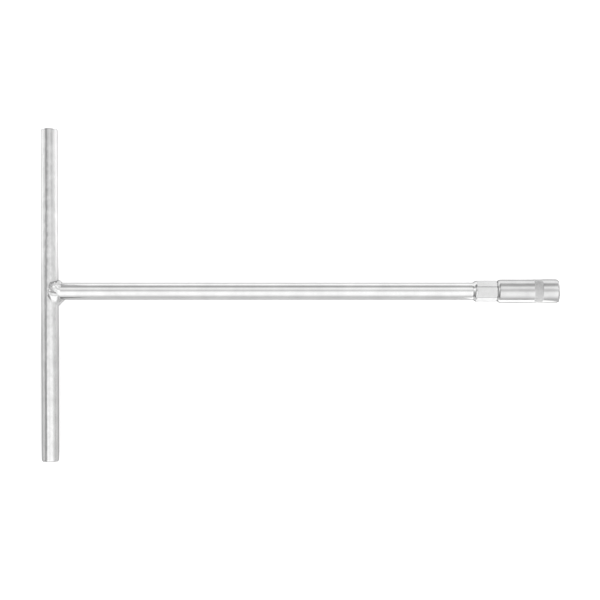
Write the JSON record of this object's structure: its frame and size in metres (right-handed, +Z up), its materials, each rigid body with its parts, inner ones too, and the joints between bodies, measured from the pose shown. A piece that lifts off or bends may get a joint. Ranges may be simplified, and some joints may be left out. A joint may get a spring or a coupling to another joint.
{
  "type": "t-handle socket wrench",
  "caption": "Fixed T-handle wrench: a round cross bar welded to a long round shaft, with a hexagon shoulder and a deep, knurl-banded hexagon socket at the far end.",
  "frame": {"origin": "on the surface the tool lies on, under the middle of its box", "axes": "+X along the shaft and out of the socket mouth, +Y along the cross bar, +Z up"},
  "size_m": [0.3, 0.193, 0.0139],
  "materials": {
    "bar_chrome": "polished chrome plate over drawn bar",
    "shaft_chrome": "polished chrome plate over drawn bar",
    "weld_chrome": "chrome plate over a rippled weld bead",
    "head_chrome": "satin to polished chrome plate over turned steel",
    "braze_chrome": "chrome plate over a brazed fillet"
  },
  "bodies": {
    "root": {"cross_bar": "bar_chrome", "shaft": "shaft_chrome", "weld_pass_upper": "weld_chrome", "weld_pass_lower": "weld_chrome", "socket_head": "head_chrome", "braze_ring": "braze_chrome"}
  },
  "joints": []
}
